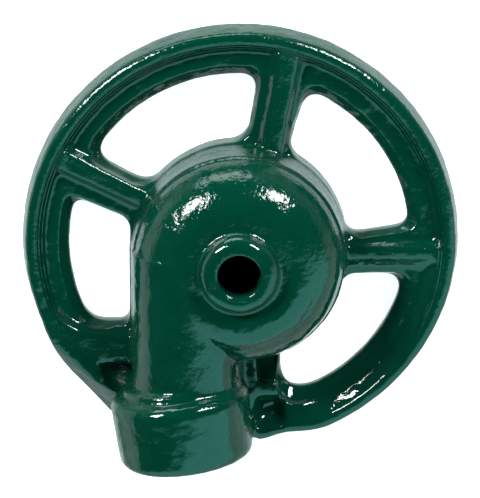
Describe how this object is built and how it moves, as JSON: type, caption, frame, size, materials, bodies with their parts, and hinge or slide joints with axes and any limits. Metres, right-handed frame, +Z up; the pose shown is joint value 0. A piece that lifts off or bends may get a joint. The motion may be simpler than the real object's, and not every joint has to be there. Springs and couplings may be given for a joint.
{
  "type": "whirl lawn sprinkler",
  "caption": "Low cast-iron lawn sprinkler: domed whirl chamber with an upright nozzle hole, side hose inlet and a spoked ring base, all in glossy green enamel.",
  "frame": {"origin": "on the nozzle's axis at ground level, in the flat underside of the whirl chamber", "axes": "+Z up along the nozzle bore; -Y towards the hose inlet; +X to the right, seen from above with the inlet at the bottom"},
  "size_m": [0.1119, 0.1112, 0.0355],
  "materials": {
    "green_enamel": "thick glossy dark green enamel over rough sand-cast iron",
    "washer_rubber": "matt black rubber"
  },
  "bodies": {
    "root": {"rim": "green_enamel", "spoke_top": "green_enamel", "spoke_right": "green_enamel", "spoke_upper_left": "green_enamel", "spoke_lower_left": "green_enamel", "spoke_lower_right": "green_enamel", "web_left": "green_enamel", "web_right": "green_enamel", "chamber_floor": "green_enamel", "chamber_wall": "green_enamel", "chamber_dome": "green_enamel", "nozzle_boss": "green_enamel", "inlet_tube": "green_enamel", "inlet_collar": "green_enamel", "hose_washer": "washer_rubber"}
  },
  "joints": []
}
